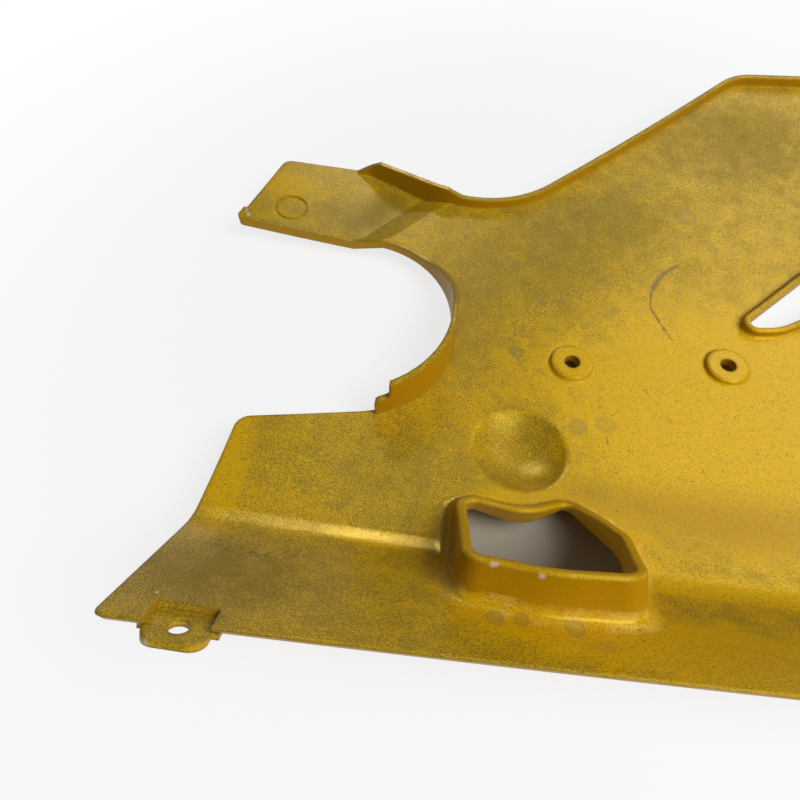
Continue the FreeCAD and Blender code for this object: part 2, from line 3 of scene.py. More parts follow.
import bmesh
import bpy
from mathutils import Matrix, Vector
from mathutils.bvhtree import BVHTree


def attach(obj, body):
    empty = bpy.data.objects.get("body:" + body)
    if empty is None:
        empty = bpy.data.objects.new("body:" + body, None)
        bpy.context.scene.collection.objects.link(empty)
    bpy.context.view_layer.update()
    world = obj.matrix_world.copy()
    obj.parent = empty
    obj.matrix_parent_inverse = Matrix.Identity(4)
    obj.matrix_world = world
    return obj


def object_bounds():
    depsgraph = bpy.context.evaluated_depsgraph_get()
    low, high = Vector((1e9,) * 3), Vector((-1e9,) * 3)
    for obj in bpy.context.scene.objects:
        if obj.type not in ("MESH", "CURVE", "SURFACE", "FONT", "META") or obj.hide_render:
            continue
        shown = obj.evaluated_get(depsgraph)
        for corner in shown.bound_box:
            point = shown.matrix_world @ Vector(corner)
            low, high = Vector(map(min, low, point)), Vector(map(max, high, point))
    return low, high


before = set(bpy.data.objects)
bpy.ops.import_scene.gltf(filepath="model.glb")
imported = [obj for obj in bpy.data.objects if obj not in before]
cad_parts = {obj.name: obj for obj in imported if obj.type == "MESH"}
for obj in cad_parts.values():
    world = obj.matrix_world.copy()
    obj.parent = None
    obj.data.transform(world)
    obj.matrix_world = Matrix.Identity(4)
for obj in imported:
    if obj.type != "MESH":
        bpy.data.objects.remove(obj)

CAD_BOX = [list(corner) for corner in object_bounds()]

bl_info = {
    "name": "Side fairing panel",
    "version": (1, 0, 0),
    "blender": (4, 5, 0),
    "location": "3D View > Sidebar > Fairing",
    "description": "Paints and lights a used, yellow side fairing panel seen on its inner face",
    "category": "Object",
}

PANEL = "side_fairing_panel"
MM = 0.001
WHITE = (1.0, 1.0, 1.0, 1.0)
# a position times this is seen in plan, without its height
FLAT = (1.0, 1.0, 0.0)


class FairingPaint(bpy.types.PropertyGroup):
    """Colours and finish of the painted panel."""
    paint: bpy.props.FloatVectorProperty(
        name="Paint", description="Clean yellow paint", subtype="COLOR", size=3, min=0, max=1,
        default=(0.75, 0.438, 0.003))
    # painted shade: the deep colour darkens every face that does not look up, and the patches towards the
    # fold and on the strip, where shade falls
    deep: bpy.props.FloatVectorProperty(
        name="Deep paint", description="Paint where it lies thick, on walls and in corners",
        subtype="COLOR", size=3, min=0, max=1, default=(0.49, 0.256, 0.002))
    dust: bpy.props.FloatVectorProperty(
        name="Dust", description="Thin film of road dust on faces that look up",
        subtype="COLOR", size=3, min=0, max=1, default=(0.36, 0.262, 0.035))
    haze: bpy.props.FloatVectorProperty(
        name="Haze", description="Grey smudges on faces that look up",
        subtype="COLOR", size=3, min=0, max=1, default=(0.165, 0.145, 0.06))
    speck: bpy.props.FloatVectorProperty(
        name="Speck", description="Fine dark grains that sit in the paint's texture",
        subtype="COLOR", size=3, min=0, max=1, default=(0.20, 0.135, 0.012))
    # this colour darkens the dark dots, scratches and blotches, and also the corners, where it is painted
    # shade mixed with dirt
    grime_and_shade: bpy.props.FloatVectorProperty(
        name="Grime", description="Dirt in scratches and corners",
        subtype="COLOR", size=3, min=0, max=1, default=(0.10, 0.075, 0.035))
    chip: bpy.props.FloatVectorProperty(
        name="Chip", description="Bare plastic where the paint is chipped",
        subtype="COLOR", size=3, min=0, max=1, default=(0.72, 0.55, 0.40))
    # lighter colour on proud edges: partly paint worn thin, partly painted highlight
    rubbed_and_highlit: bpy.props.FloatVectorProperty(
        name="Rubbed paint", description="Paint worn thin on proud edges",
        subtype="COLOR", size=3, min=0, max=1, default=(0.86, 0.60, 0.10))
    drop: bpy.props.FloatVectorProperty(
        name="Dried drop", description="Stain that a dried water drop leaves",
        subtype="COLOR", size=3, min=0, max=1, default=(0.22, 0.165, 0.05))
    sheen: bpy.props.FloatVectorProperty(
        name="Sheen", description="Tint of the light that the paint mirrors",
        subtype="COLOR", size=3, min=0, max=1, default=(1.0, 0.70, 0.10))
    gloss: bpy.props.FloatProperty(
        name="Clean roughness", description="Roughness of clean paint", default=0.27, min=0, max=1)
    dull: bpy.props.FloatProperty(
        name="Dusty roughness", description="Roughness under the dust", default=0.55, min=0, max=1)
    soft_edge: bpy.props.FloatProperty(
        name="Soft edge", description="Radius over which moulded edges look rounded",
        default=0.0022, min=0, unit="LENGTH")
    # reach of the darkening out of corners, which is painted shade mixed with dirt
    dirt_and_shade_reach: bpy.props.FloatProperty(
        name="Dirt reach", description="How far dirt spreads out of a corner",
        default=0.011, min=0, unit="LENGTH")
    # reach of the lightening of proud edges, which is painted highlight mixed with wear
    rub_and_highlight_reach: bpy.props.FloatProperty(
        name="Rub reach", description="How far a proud edge is rubbed",
        default=0.0013, min=0, unit="LENGTH")
    texture_depth: bpy.props.FloatProperty(
        name="Texture depth", description="Depth of the fine texture of the paint",
        default=0.00025, min=0, unit="LENGTH")


class FairingFlare(bpy.types.PropertyGroup):
    """Rounded foot of the duct collar."""
    centre: bpy.props.FloatVectorProperty(
        name="Centre", description="Plan point inside the duct that the flare runs round", size=2,
        subtype="XYZ", unit="LENGTH", default=(-0.064, -0.116))
    start: bpy.props.FloatProperty(
        name="Start", description="Plan distance from the centre at which the panel is felt for the collar",
        default=0.060, min=0, unit="LENGTH")
    reach: bpy.props.FloatProperty(
        name="Reach", description="How far the flare runs out over the panel",
        default=0.0068, min=0, unit="LENGTH")
    rise: bpy.props.FloatProperty(
        name="Rise", description="How far the flare runs up the collar",
        default=0.0068, min=0, unit="LENGTH")
    share: bpy.props.FloatProperty(
        name="Share", description="Most of the collar's height that the flare takes",
        default=0.7, min=0, max=1)


class FairingStage(bpy.types.PropertyGroup):
    """Floor, lamps and camera."""
    floor: bpy.props.FloatVectorProperty(
        name="Floor", description="Pale floor", subtype="COLOR", size=3, min=0, max=1,
        default=(0.86, 0.86, 0.86))
    bench: bpy.props.FloatVectorProperty(
        name="Bench", description="Floor that shows through the panel's openings",
        subtype="COLOR", size=3, min=0, max=1, default=(0.42, 0.385, 0.31))
    floor_half: bpy.props.FloatProperty(
        name="Floor size", description="Half the side of the floor", default=3.0, min=0, unit="LENGTH")
    floor_gap: bpy.props.FloatProperty(
        name="Floor gap", description="Gap between the panel and the floor",
        default=0.0005, min=0, unit="LENGTH")
    fill: bpy.props.FloatProperty(
        name="Fill", description="Strength of the soft light from all round", default=0.10, min=0)
    camera_at: bpy.props.FloatVectorProperty(
        name="Camera", description="Where the camera stands", subtype="XYZ", unit="LENGTH", size=3,
        default=(-0.10895, -0.2037, 0.266))
    camera_turn: bpy.props.FloatProperty(
        name="Camera turn", description="Turn of the picture's right hand from +X", subtype="ANGLE",
        default=math.radians(7.5))
    camera_tilt: bpy.props.FloatProperty(
        name="Camera tilt", description="Lean of the view from straight down", subtype="ANGLE",
        default=math.radians(32.0))
    lens: bpy.props.FloatProperty(name="Lens", description="Focal length", default=27.0, unit="CAMERA")


class Nodes:
    """Adds nodes to a tree; a socket is linked, and a plain value is set on the socket itself."""

    def __init__(self, tree):
        self.tree = tree

    def plug(self, socket, value):
        if isinstance(value, bpy.types.NodeSocket):
            self.tree.links.new(value, socket)
        else:
            socket.default_value = value

    def add(self, kind, inputs=(), **settings):
        node = self.tree.nodes.new(kind)
        for name, value in settings.items():
            setattr(node, name, value)
        for name, value in dict(inputs).items():
            self.plug(node.inputs[name], value)
        return node

    def math(self, operation, *values, clamp=False):
        node = self.add("ShaderNodeMath", operation=operation, use_clamp=clamp)
        for socket, value in zip(node.inputs, values):
            self.plug(socket, value)
        return node.outputs[0]

    def product(self, *values):
        result = values[0]
        for value in values[1:]:
            result = self.math("MULTIPLY", result, value)
        return result

    def vector(self, operation, *values):
        node = self.add("ShaderNodeVectorMath", operation=operation)
        for socket, value in zip(node.inputs, values):
            self.plug(socket, value)
        return node

    def scaled(self, position, factor):
        node = self.add("ShaderNodeVectorMath", {"Scale": factor}, operation="SCALE")
        self.plug(node.inputs[0], position)
        return node.outputs[0]

    def span(self, value, low, high, start=0.0, end=1.0):
        node = self.add("ShaderNodeMapRange", {
            "Value": value, "From Min": low, "From Max": high, "To Min": start, "To Max": end},
            interpolation_type="SMOOTHSTEP")
        return node.outputs["Result"]

    def mix(self, factor, first, second):
        node = self.add("ShaderNodeMix", data_type="RGBA")
        self.plug(node.inputs[0], factor)
        self.plug(node.inputs[6], first)
        self.plug(node.inputs[7], second)
        return node.outputs[2]

    def noise(self, position, grain, detail=2.0, roughness=0.5):
        """Noise whose features are about grain millimetres across."""
        node = self.add("ShaderNodeTexNoise", {
            "Vector": position, "Scale": 1.0 / grain, "Detail": detail, "Roughness": roughness})
        return node.outputs["Fac"]

    def swing(self, value, amount):
        """A noise value turned into plus or minus half the amount."""
        return self.math("MULTIPLY", self.math("SUBTRACT", value, 0.5), amount)

    def group(self, tree, **inputs):
        node = self.add("ShaderNodeGroup", node_tree=tree)
        for name, value in inputs.items():
            self.plug(node.inputs[name], value)
        return node.outputs[0]


def new_group(name, inputs):
    """An empty node group that gives a mask: its nodes, its input sockets and the socket of the mask."""
    tree = bpy.data.node_groups.new(name, "ShaderNodeTree")
    for socket, kind in inputs:
        tree.interface.new_socket(socket, in_out="INPUT", socket_type=kind)
    tree.interface.new_socket("Mask", in_out="OUTPUT", socket_type="NodeSocketFloat")
    nodes = Nodes(tree)
    source = nodes.add("NodeGroupInput").outputs
    drain = nodes.add("NodeGroupOutput").inputs["Mask"]
    return nodes, source, drain


def patch_group():
    """A soft-edged patch, round or stretched, seen in plan."""
    nodes, source, drain = new_group("patch", [
        ("Position", "NodeSocketVector"), ("Centre", "NodeSocketVector"), ("Size", "NodeSocketVector"),
        ("Turn", "NodeSocketVector"), ("Softness", "NodeSocketFloat")])
    local = nodes.add("ShaderNodeMapping", {
        "Vector": source["Position"], "Location": source["Centre"], "Rotation": source["Turn"],
        "Scale": source["Size"]}, vector_type="TEXTURE").outputs[0]
    flat = nodes.vector("MULTIPLY", local, FLAT).outputs[0]
    reach = nodes.vector("LENGTH", flat).outputs["Value"]
    inner = nodes.math("SUBTRACT", 1.0, source["Softness"])
    nodes.plug(drain, nodes.span(reach, 1.0, inner))
    return nodes.tree


def drop_group():
    """A dried water drop seen in plan: a faint disc with a darker rim and a ragged outline."""
    nodes, source, drain = new_group("dried_drop", [
        ("Position", "NodeSocketVector"), ("Centre", "NodeSocketVector"), ("Radius", "NodeSocketFloat"),
        ("Ragged", "NodeSocketFloat")])
    away = nodes.vector("SUBTRACT", source["Position"], source["Centre"]).outputs[0]
    flat = nodes.vector("MULTIPLY", away, FLAT).outputs[0]
    reach = nodes.vector("LENGTH", flat).outputs["Value"]
    part = nodes.math("DIVIDE", nodes.math("ADD", reach, source["Ragged"]), source["Radius"])
    disc = nodes.span(part, 1.08, 0.84)
    nodes.plug(drain, nodes.product(disc, nodes.span(part, 0.35, 0.9, 0.6, 1.0)))
    return nodes.tree


def hairline_group():
    """A thin scratch along an arc in plan, broken into dashes and tapering to both ends."""
    nodes, source, drain = new_group("hairline", [
        ("Position", "NodeSocketVector"), ("Centre", "NodeSocketVector"), ("Radius", "NodeSocketFloat"),
        ("Middle", "NodeSocketFloat"), ("Half", "NodeSocketFloat"), ("Width", "NodeSocketFloat"),
        ("Breaks", "NodeSocketFloat"), ("Uneven", "NodeSocketFloat")])
    away = nodes.vector("SUBTRACT", source["Position"], source["Centre"]).outputs[0]
    axes = nodes.add("ShaderNodeSeparateXYZ", {"Vector": away}).outputs
    reach = nodes.math("SQRT", nodes.math(
        "ADD", nodes.math("MULTIPLY", axes["X"], axes["X"]), nodes.math("MULTIPLY", axes["Y"], axes["Y"])))
    off = nodes.math("ABSOLUTE", nodes.math("SUBTRACT", reach, source["Radius"]))
    angle = nodes.math("SUBTRACT", nodes.math("ARCTAN2", axes["Y"], axes["X"]), source["Middle"])
    angle = nodes.math("ABSOLUTE", nodes.math("WRAP", angle, math.pi, -math.pi))
    along = nodes.math("DIVIDE", angle, source["Half"])
    taper = nodes.span(along, 1.0, 0.7)
    uneven = nodes.math("SUBTRACT", 1.0, nodes.product(source["Breaks"], source["Uneven"]))
    width = nodes.product(source["Width"], taper, uneven)
    part = nodes.math("DIVIDE", off, nodes.math("MAXIMUM", width, 1e-4))
    line = nodes.math("SUBTRACT", 1.0, part, clamp=True)
    nodes.plug(drain, nodes.product(nodes.math("SQRT", line), taper, uneven))
    return nodes.tree


def spatter_group():
    """Scattered small dried drops of differing size."""
    nodes, source, drain = new_group("spatter", [
        ("Position", "NodeSocketVector"), ("Spacing", "NodeSocketFloat"), ("Size", "NodeSocketFloat"),
        ("Share", "NodeSocketFloat")])
    scale = nodes.math("DIVIDE", 1.0, source["Spacing"])
    cells = nodes.add("ShaderNodeTexVoronoi", {
        "Vector": source["Position"], "Scale": scale, "Randomness": 0.9}, voronoi_dimensions="2D")
    random = nodes.add("ShaderNodeSeparateColor", {"Color": cells.outputs["Color"]}).outputs
    reach = nodes.product(cells.outputs["Distance"], source["Spacing"])
    reach = nodes.math("ADD", reach, nodes.swing(nodes.noise(source["Position"], 1.8, 1.0), 1.2))
    size = nodes.product(source["Size"], nodes.math("ADD", 0.35, random["Red"]))
    part = nodes.math("DIVIDE", reach, size)
    disc = nodes.span(part, 1.05, 0.75)
    rim = nodes.product(disc, nodes.span(part, 0.4, 0.9, 0.65, 1.0))
    chosen = nodes.math("LESS_THAN", random["Green"], source["Share"])
    nodes.plug(drain, nodes.product(rim, chosen))
    return nodes.tree


GROUPS = {
    "patch": patch_group,
    "dried_drop": drop_group,
    "hairline": hairline_group,
    "spatter": spatter_group,
}


def shared_group(name):
    """A node group, made when it is first asked for and then shared."""
    return bpy.data.node_groups.get(name) or GROUPS[name]()


def arc_through(first, middle, last):
    """Centre, radius, middle angle and half span of the arc through three plan points."""
    (ax, ay), (bx, by), (cx, cy) = first, middle, last
    d = 2 * (ax * (by - cy) + bx * (cy - ay) + cx * (ay - by))
    a2, b2, c2 = ax * ax + ay * ay, bx * bx + by * by, cx * cx + cy * cy
    x = (a2 * (by - cy) + b2 * (cy - ay) + c2 * (ay - by)) / d
    y = (a2 * (cx - bx) + b2 * (ax - cx) + c2 * (bx - ax)) / d
    radius = math.hypot(ax - x, ay - y)
    mid = math.atan2(by - y, bx - x)
    turns = [math.atan2(py - y, px - x) - mid for px, py in (first, last)]
    half = max(abs((turn + math.pi) % (2 * math.pi) - math.pi) for turn in turns)
    return (x, y, 0.0), radius, mid, half


# patches of the finish in plan, in millimetres: centre, half size, turn in degrees, softness, weight
# where dust lies thicker
DUSTY = (
    ((-60, 70), (75, 60), 0, 1.0, 0.25),
    ((-105, 20), (40, 70), 0, 1.0, 0.30),
    ((70, 185), (90, 60), 0, 1.0, 0.25),
    ((-120, -85), (75, 40), 0, 1.0, 0.20),
    ((-185, -150), (60, 26), 0, 1.0, 0.40),
    ((-175, 90), (36, 26), 0, 1.0, 0.30),
    ((-20, 110), (80, 50), 15, 1.0, 0.25),
    ((-66, -48), (26, 24), 0, 0.6, 0.22),
    # dust on the ramp down to the arm, with painted shade on that ramp
    ((-160, 102), (16, 26), -38, 1.0, 0.45),
)
# where less dust lies
CLEAN = (
    ((45, -20), (150, 105), 10, 1.0, 0.62),
    ((-225, 112), (26, 14), 5, 0.8, 0.6),
    ((-203, -95), (13, 60), 8, 1.0, 0.45),
    ((30, -95), (130, 30), 0, 1.0, 0.20),
    ((10, -155), (140, 20), 0, 1.0, 0.55),
    ((-41.8, 0), (14, 14), 0, 0.4, 0.35),
    ((41.8, 0), (14, 14), 0, 0.4, 0.30),
    ((-63, -120), (58, 46), 0, 0.45, 0.50),
    ((-122, -120.5), (44, 6), 0, 1.0, 0.70),
    ((20, -123), (80, 9), 0, 1.0, 0.60),
)
# where the paint is darkened as painted shade: towards the fold, round the duct and on the turned-up strip
PAINTED_SHADE = (
    ((25, -90), (120, 28), 0, 1.0, 1.0),
    ((-40, -82), (60, 20), 0, 1.0, 0.30),
    ((-63, -126), (58, 34), 0, 0.4, 0.55),
    ((20, -152), (90, 26), 0, 1.0, 0.45),
)
# grey smudges
HAZY = (
    ((-32, 112), (30, 22), 20, 1.0, 0.75),
    ((-2, 138), (26, 14), 35, 1.0, 0.55),
    ((-60, 100), (28, 18), 0, 1.0, 0.35),
    ((-20, 34), (13, 5), 38, 1.0, 0.60),
    ((62, 170), (80, 26), 12, 1.0, 0.40),
    ((40, 215), (60, 26), 10, 1.0, 0.40),
    # grey smudge by the ramp down to the arm, partly painted shade
    ((-176, 92), (26, 16), 0, 1.0, 0.45),
    ((-190, -150), (46, 18), 0, 1.0, 0.32),
    ((-110, 60), (26, 30), 0, 1.0, 0.25),
    ((-120, -108), (40, 12), 0, 1.0, 0.25),
    ((-10, -138), (12, 6), 0, 1.0, 0.40),
    ((-46, -158), (14, 5), 0, 1.0, 0.40),
)
# dried drops: plan centre, radius, weight
DROPS = (
    ((31.5, 117), 7.0, 0.55), ((45.3, 91.2), 3.4, 0.5), ((-71.0, -0.4), 4.0, 0.7),
    ((-76.7, 64.1), 3.0, 0.6), ((-104.6, 80.8), 2.2, 0.6), ((-58.9, 38.8), 2.4, 0.6),
    ((-46.1, 40.0), 2.2, 0.6), ((-35.7, 43.7), 1.9, 0.6), ((-20.2, 58.1), 3.6, 0.45),
    ((-89.9, 41.6), 1.8, 0.6), ((-75.7, 7.2), 1.9, 0.5), ((-68.2, 19.0), 1.6, 0.5),
    ((-80.8, 22.9), 1.3, 0.7), ((-81.8, -30.8), 2.0, 0.5), ((-88.3, -25.3), 2.6, 0.5),
    ((-33.3, 24.1), 3.0, 0.4), ((-39.4, -44.5), 5.0, 0.45), ((-25.2, -41.2), 5.5, 0.35),
    ((-81.7, -152.5), 3.4, 0.5), ((-72.0, -151.6), 3.0, 0.5), ((-53.3, -151.8), 4.0, 0.45),
    ((-71.3, -46.5), 0.9, 0.9),
)
# plan points that a scratch runs through, its half width in millimetres, and how broken it is
SCRATCHES = (
    ((23.5, 76.5), (13.0, 67.0), (5.6, 52.0), 2.0, 0.1),
    ((9.0, 60.0), (4.6, 46.0), (6.6, 34.0), 0.9, 0.5),
    ((5.0, 41.0), (9.6, 29.2), (16.0, 17.0), 1.3, 0.6),
    ((-5.4, -12.8), (2.5, -25.5), (8.4, -36.2), 0.3, 0.9),
    ((13.4, -7.1), (23.5, -11.5), (32.4, -18.8), 0.22, 0.9),
    ((-26.0, -48.2), (-25.2, -51.0), (-25.5, -54.1), 0.45, 0.3),
    ((19.0, -60.0), (21.0, -66.4), (26.0, -70.0), 0.3, 0.7),
    ((-150.5, -117.0), (-146.5, -113.5), (-141.0, -117.5), 0.35, 0.6),
    ((-152.0, -106.0), (-148.0, -112.0), (-150.5, -117.0), 0.3, 0.8),
)
# chips in the paint: plan centre, half size, turn in degrees
CHIPS = (
    ((-84.3, -137.4), (2.4, 1.1), 5),
    ((-68.0, -139.6), (2.0, 0.9), -5),
    ((-190.5, -180.5), (2.6, 2.4), 0),
    ((-196.7, -162.7), (0.9, 0.7), 0),
    ((-242.5, 80.5), (1.6, 3.0), 20),
)


def panel_paint(name, colours, soft_edges):
    """Yellow paint with dust, grains, dried drops, hairline scratches and worn edges, with painted shade on
    walls, towards the fold and in corners, and painted highlight on proud edges.
    """
    material = bpy.data.materials.new(name)
    material.use_nodes = True
    tree = material.node_tree
    tree.nodes.clear()
    nodes = Nodes(tree)
    patch, drop, hairline, spatter = (shared_group(name) for name in GROUPS)

    coordinates = nodes.add("ShaderNodeTexCoord").outputs
    position = nodes.scaled(coordinates["Object"], 1.0 / MM)
    normal = nodes.add("ShaderNodeSeparateXYZ", {"Vector": coordinates["Normal"]}).outputs
    faces_up = nodes.span(normal["Z"], 0.25, 0.75)

    def total(places):
        value = 0.0
        for (x, y), (wide, deep), turn, softness, weight in places:
            mask = nodes.group(
                patch, Position=position, Centre=(x, y, 0.0), Size=(wide, deep, 1.0),
                Turn=(0.0, 0.0, math.radians(turn)), Softness=softness)
            value = nodes.math("MULTIPLY_ADD", mask, weight, value)
        return value

    # large, middle and fine unevenness of the dust
    broad = nodes.noise(position, 60.0, 3.0, 0.55)
    mottle = nodes.noise(position, 10.0, 4.0, 0.62)
    grain = nodes.noise(position, 0.70, 3.0, 0.75)
    peel = nodes.noise(position, 1.6, 1.0)
    blur = nodes.noise(position, 2.3, 2.0)
    ragged = nodes.swing(blur, 1.6)
    uneven = nodes.span(blur, 0.38, 0.60)

    film = nodes.math("ADD", 0.30, nodes.swing(broad, 0.40))
    film = nodes.math("ADD", film, total(DUSTY))
    film = nodes.math("SUBTRACT", film, total(CLEAN))
    film = nodes.math("ADD", film, nodes.swing(mottle, 0.75))
    film = nodes.product(nodes.math("MAXIMUM", film, 0.0), faces_up)
    dusty = nodes.math("MINIMUM", film, 1.0)

    smudge = nodes.math("MULTIPLY", total(HAZY), nodes.span(mottle, 0.3, 0.7, 0.45, 1.25))
    smudge = nodes.product(smudge, faces_up)

    # fine dark grains, closer together where more dust lies
    grains = nodes.math("ADD", grain, nodes.math("MULTIPLY", film, 0.27))
    grains = nodes.product(nodes.span(grains, 0.48, 0.68), faces_up)

    drops = nodes.group(spatter, Position=position, Spacing=11.0, Size=1.8, Share=0.35)
    drops = nodes.product(drops, 0.55, dusty)
    for (x, y), radius, weight in DROPS:
        mask = nodes.group(drop, Position=position, Centre=(x, y, 0.0), Radius=radius, Ragged=ragged)
        drops = nodes.math("MAXIMUM", drops, nodes.math("MULTIPLY", mask, weight))
    drops = nodes.product(drops, faces_up)

    # worn, blotched place on the turned-up strip
    worn = nodes.group(
        patch, Position=position, Centre=(-176.0, -135.5, 0.0), Size=(30.0, 8.5, 1.0), Softness=0.8)
    blotches = nodes.group(spatter, Position=position, Spacing=3.3, Size=1.25, Share=0.8)
    blotches = nodes.product(blotches, worn, 0.85)

    dots = nodes.group(spatter, Position=position, Spacing=7.0, Size=0.42, Share=0.22)
    dots = nodes.product(dots, faces_up, 0.8)

    scratches = 0.0
    for first, middle, last, width, breaks in SCRATCHES:
        centre, radius, angle, half = arc_through(first, middle, last)
        line = nodes.group(
            hairline, Position=position, Centre=centre, Radius=radius, Middle=angle, Half=half, Width=width,
            Breaks=breaks, Uneven=uneven)
        scratches = nodes.math("MAXIMUM", scratches, line)
    scratches = nodes.product(scratches, faces_up)

    # corners are darkened, partly by dirt and partly as painted shade, and proud edges are lightened, partly
    # as rubbed paint and partly as painted highlight
    hollow = nodes.add(
        "ShaderNodeAmbientOcclusion", {"Distance": colours.dirt_and_shade_reach}, samples=2).outputs["AO"]
    corner = nodes.span(hollow, 0.80, 0.35)
    proud = nodes.add(
        "ShaderNodeAmbientOcclusion", {"Distance": colours.rub_and_highlight_reach}, samples=2, inside=True).outputs["AO"]
    rubbed_and_highlit = nodes.product(nodes.span(proud, 0.9, 0.55), nodes.span(mottle, 0.40, 0.62))
    chips = 0.0
    for (x, y), (wide, deep), turn in CHIPS:
        mask = nodes.group(
            patch, Position=position, Centre=(x, y, 0.0), Size=(wide, deep, 1.0),
            Turn=(0.0, 0.0, math.radians(turn)), Softness=0.7)
        chips = nodes.math("MAXIMUM", chips, mask)
    chips = nodes.product(chips, nodes.span(blur, 0.40, 0.52))

    # painted shade: faces that do not look up, and the patches of the table above, take the darker deep
    # colour instead of the clean paint
    thin = nodes.math("SUBTRACT", faces_up, total(PAINTED_SHADE))
    paint = nodes.mix(thin, (*colours.deep, 1.0), (*colours.paint, 1.0))
    # painted highlight mixed with wear: proud edges take a lighter colour
    paint = nodes.mix(nodes.product(rubbed_and_highlit, 0.5), paint, (*colours.rubbed_and_highlit, 1.0))
    colour = nodes.mix(nodes.math("MULTIPLY", dusty, 0.50), paint, (*colours.dust, 1.0))
    colour = nodes.mix(nodes.math("MULTIPLY", smudge, 0.55, clamp=True), colour, (*colours.haze, 1.0))
    colour = nodes.mix(nodes.math("MULTIPLY", grains, 0.88), colour, (*colours.speck, 1.0))
    colour = nodes.mix(nodes.math("MULTIPLY", drops, 0.90), colour, (*colours.drop, 1.0))
    # painted shade mixed with dirt: corners take the grime colour
    dirt_and_shade = nodes.product(corner, 0.16, nodes.span(mottle, 0.3, 0.65))
    colour = nodes.mix(dirt_and_shade, colour, (*colours.grime_and_shade, 1.0))
    dark = nodes.math("MAXIMUM", dots, nodes.math("MULTIPLY", scratches, 0.9))
    dark = nodes.math("MAXIMUM", blotches, dark)
    colour = nodes.mix(dark, colour, (*colours.grime_and_shade, 1.0))
    colour = nodes.mix(chips, colour, (*colours.chip, 1.0))

    rough = nodes.span(dusty, 0.1, 0.9, colours.gloss, colours.dull)
    rough = nodes.math("ADD", rough, nodes.span(normal["Z"], 0.75, 0.3, 0.0, 0.18))
    # polished stretch of the fold, left of the duct
    polished = nodes.group(
        patch, Position=position, Centre=(-118.0, -120.5, 0.0), Size=(46.0, 8.0, 1.0), Softness=0.8)
    rough = nodes.math("SUBTRACT", rough, nodes.math("MULTIPLY", polished, 0.10))
    height = nodes.math("ADD", nodes.math("MULTIPLY", grain, 0.6), nodes.math("MULTIPLY", peel, 0.9))
    height = nodes.math("SUBTRACT", height, nodes.math("MULTIPLY", scratches, 1.2))
    height = nodes.math("SUBTRACT", height, nodes.math("MULTIPLY", blotches, 1.2))
    bump = nodes.add("ShaderNodeBump", {
        "Height": height, "Strength": 0.35, "Distance": colours.texture_depth})
    if soft_edges:
        rounded = nodes.add("ShaderNodeBevel", {"Radius": colours.soft_edge}, samples=3)
        tree.links.new(rounded.outputs["Normal"], bump.inputs["Normal"])
    surface = nodes.add("ShaderNodeBsdfPrincipled", {
        "Base Color": colour, "Roughness": rough, "Normal": bump.outputs[0],
        "Specular IOR Level": 0.75, "Specular Tint": (*colours.sheen, 1.0)})
    output = nodes.add("ShaderNodeOutputMaterial")
    tree.links.new(surface.outputs[0], output.inputs["Surface"])
    return material


# floor places that show through the panel: plan centre, half size in millimetres
SEEN_THROUGH = (
    ((-52, -85), (74, 62)),
    ((42, 6), (16, 16)),
    ((-42, 6), (24, 24)),
)


def floor_material(floor, bench):
    """Pale floor, white to the camera with a faint shadow, and plain where it shows through the panel."""
    material = bpy.data.materials.new("pale_floor")
    material.use_nodes = True
    tree = material.node_tree
    tree.nodes.clear()
    nodes = Nodes(tree)
    coordinates = nodes.add("ShaderNodeTexCoord").outputs["Object"]
    position = nodes.scaled(coordinates, 1.0 / MM)
    patch = shared_group("patch")
    through = 0.0
    for (x, y), (wide, deep) in SEEN_THROUGH:
        mask = nodes.group(
            patch, Position=position, Centre=(x, y, 0.0), Size=(wide, deep, 1.0), Softness=0.35)
        through = nodes.math("MAXIMUM", through, mask)
    colour = nodes.mix(through, (*floor, 1.0), (*bench, 1.0))
    plain = nodes.add("ShaderNodeBsdfDiffuse", {"Color": colour})
    white = nodes.add("ShaderNodeEmission", {"Color": WHITE, "Strength": 1.0})
    rays = nodes.add("ShaderNodeLightPath").outputs
    seen = nodes.math("MAXIMUM", rays["Is Camera Ray"], nodes.math(
        "MAXIMUM", rays["Is Glossy Ray"], rays["Is Transmission Ray"]))
    # near the panel some of the plain floor shows, so that its shadow is faintly seen
    flat = nodes.vector("MULTIPLY", coordinates, FLAT).outputs[0]
    away = nodes.vector("LENGTH", flat).outputs["Value"]
    veil = nodes.span(away, 0.15, 0.6, 0.78, 1.0)
    share = nodes.add("ShaderNodeMixShader")
    tree.links.new(nodes.product(seen, veil, nodes.math("SUBTRACT", 1.0, through)), share.inputs[0])
    tree.links.new(plain.outputs[0], share.inputs[1])
    tree.links.new(white.outputs[0], share.inputs[2])
    output = nodes.add("ShaderNodeOutputMaterial")
    tree.links.new(share.outputs[0], output.inputs["Surface"])
    return material


# lamps: name, place, aim, width, depth, power in watts, whether it lights the paint as well as its gloss
LAMPS = (
    ("top_softbox", (0.576, -0.336, 1.00), (0.0, 0.0, 0.0), 0.70, 0.70, 13.2, True),
    ("side_softbox", (0.55, 0.70, 0.82), (0.05, -0.02, 0.0), 0.75, 0.50, 3.4, False),
    ("rear_strip", (-0.22, 0.93, 0.60), (-0.12, -0.12, 0.0), 0.34, 0.09, 3.4, False),
)


class FAIRING_OT_paint_panel(bpy.types.Operator):
    """Paint the moulded panel"""
    bl_idname = "fairing.paint_panel"
    bl_label = "Paint Panel"

    def execute(self, context):
        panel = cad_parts[PANEL]
        panel.data.materials.clear()
        panel.data.materials.append(panel_paint("worn_yellow_paint", context.scene.fairing_paint, True))
        return {"FINISHED"}


